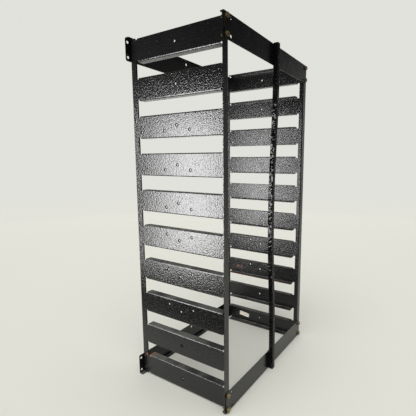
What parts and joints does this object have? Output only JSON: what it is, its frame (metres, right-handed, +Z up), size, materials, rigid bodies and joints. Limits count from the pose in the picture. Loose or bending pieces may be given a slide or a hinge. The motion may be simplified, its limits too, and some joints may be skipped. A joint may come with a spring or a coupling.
{
  "type": "newspaper rack",
  "caption": "Open sheet-metal rack with slotted side panels, folded-in lips for stacked newspapers or trays, bolted corner rails and a central retaining bar.",
  "frame": {"origin": "centre of the overall box, on the surface the rack stands on", "axes": "+Z up, +Y to the rear, +X to the right seen from the front; the centre bar is on the -Y face"},
  "size_m": [0.342, 0.2418, 0.6824],
  "materials": {
    "panel_paint": "black powder coat with a fine orange-peel texture, semi-gloss, worn thin on some edges",
    "rail_paint": "smooth semi-gloss black powder coat with fine dust",
    "bar_paint": "satin black paint",
    "plating": "yellow passivated zinc plating, dulled, with rust traces"
  },
  "bodies": {
    "root": {"back_top_rail": "rail_paint", "back_bottom_rail": "rail_paint", "front_top_rail": "rail_paint", "front_bottom_rail": "rail_paint", "side_panel_left": "panel_paint", "side_panel_right": "panel_paint", "centre_bar": "bar_paint", "front_top_left_bolts": "plating", "front_top_left_nuts": "plating", "front_top_right_bolts": "plating", "front_top_right_nuts": "plating", "front_bottom_left_bolts": "plating", "front_bottom_left_nuts": "plating", "front_bottom_right_bolts": "plating", "front_bottom_right_nuts": "plating", "back_top_left_bolts": "plating", "back_top_left_nuts": "plating", "back_top_right_bolts": "plating", "back_top_right_nuts": "plating", "back_bottom_left_bolts": "plating", "back_bottom_left_nuts": "plating", "back_bottom_right_bolts": "plating", "back_bottom_right_nuts": "plating", "bar_top_bolts": "plating", "bar_bottom_bolts": "plating"}
  },
  "joints": []
}
